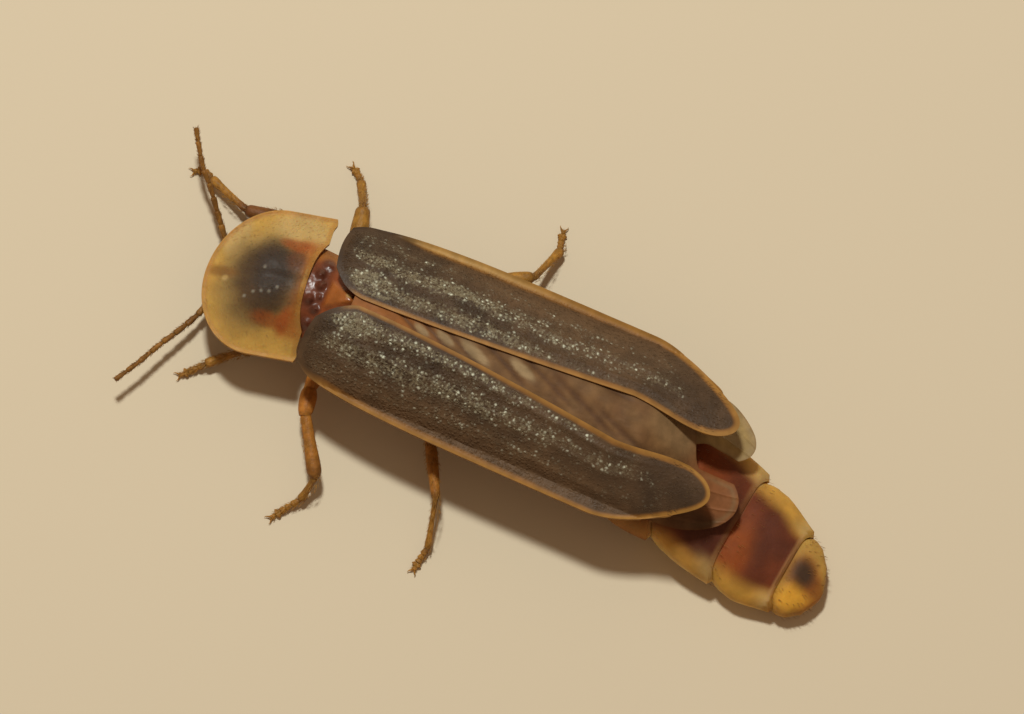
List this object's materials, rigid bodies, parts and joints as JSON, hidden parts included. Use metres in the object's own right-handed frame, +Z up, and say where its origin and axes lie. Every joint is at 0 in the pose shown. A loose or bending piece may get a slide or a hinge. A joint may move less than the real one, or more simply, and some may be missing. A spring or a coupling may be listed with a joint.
{
  "type": "firefly",
  "caption": "Life-size male firefly at rest, wing cases slightly parted over folded wings, abdomen bent to its left.",
  "frame": {"origin": "middle of the footprint, on the floor that the feet and the tail stand on", "axes": "+X to the insect's left, +Y along the wing cases towards the tail, +Z up; the head looks along -Y"},
  "size_m": [0.0088, 0.0168, 0.0031],
  "materials": {
    "shield": "satin, translucent amber cuticle with a dark centre",
    "trunk": "smooth orange-brown cuticle",
    "eye": "glossy black, finely faceted",
    "limb": "amber-brown cuticle with short hair",
    "wing_case": "finely grained dark brown with pale margins",
    "wing_membrane": "thin brown membrane, partly see-through",
    "abdomen": "dark red plates with golden sides",
    "lantern": "pale yellow light organ below, dark red plates above"
  },
  "bodies": {
    "root": {"pronotum": "shield", "head": "trunk", "prothorax": "trunk", "thorax": "trunk", "mesonotum": "trunk", "eye_left": "eye", "eye_right": "eye", "antenna_left": "limb", "antenna_right": "limb", "leg_front_left": "limb", "leg_front_right": "limb", "leg_middle_left": "limb", "leg_middle_right": "limb", "leg_hind_left": "limb", "leg_hind_right": "limb", "elytron_left": "wing_case", "elytron_right": "wing_case", "hindwing_left": "wing_membrane", "hindwing_right": "wing_membrane", "abdomen": "abdomen", "tail_tip": "abdomen", "lantern_front": "lantern", "lantern_rear": "lantern"}
  },
  "joints": []
}
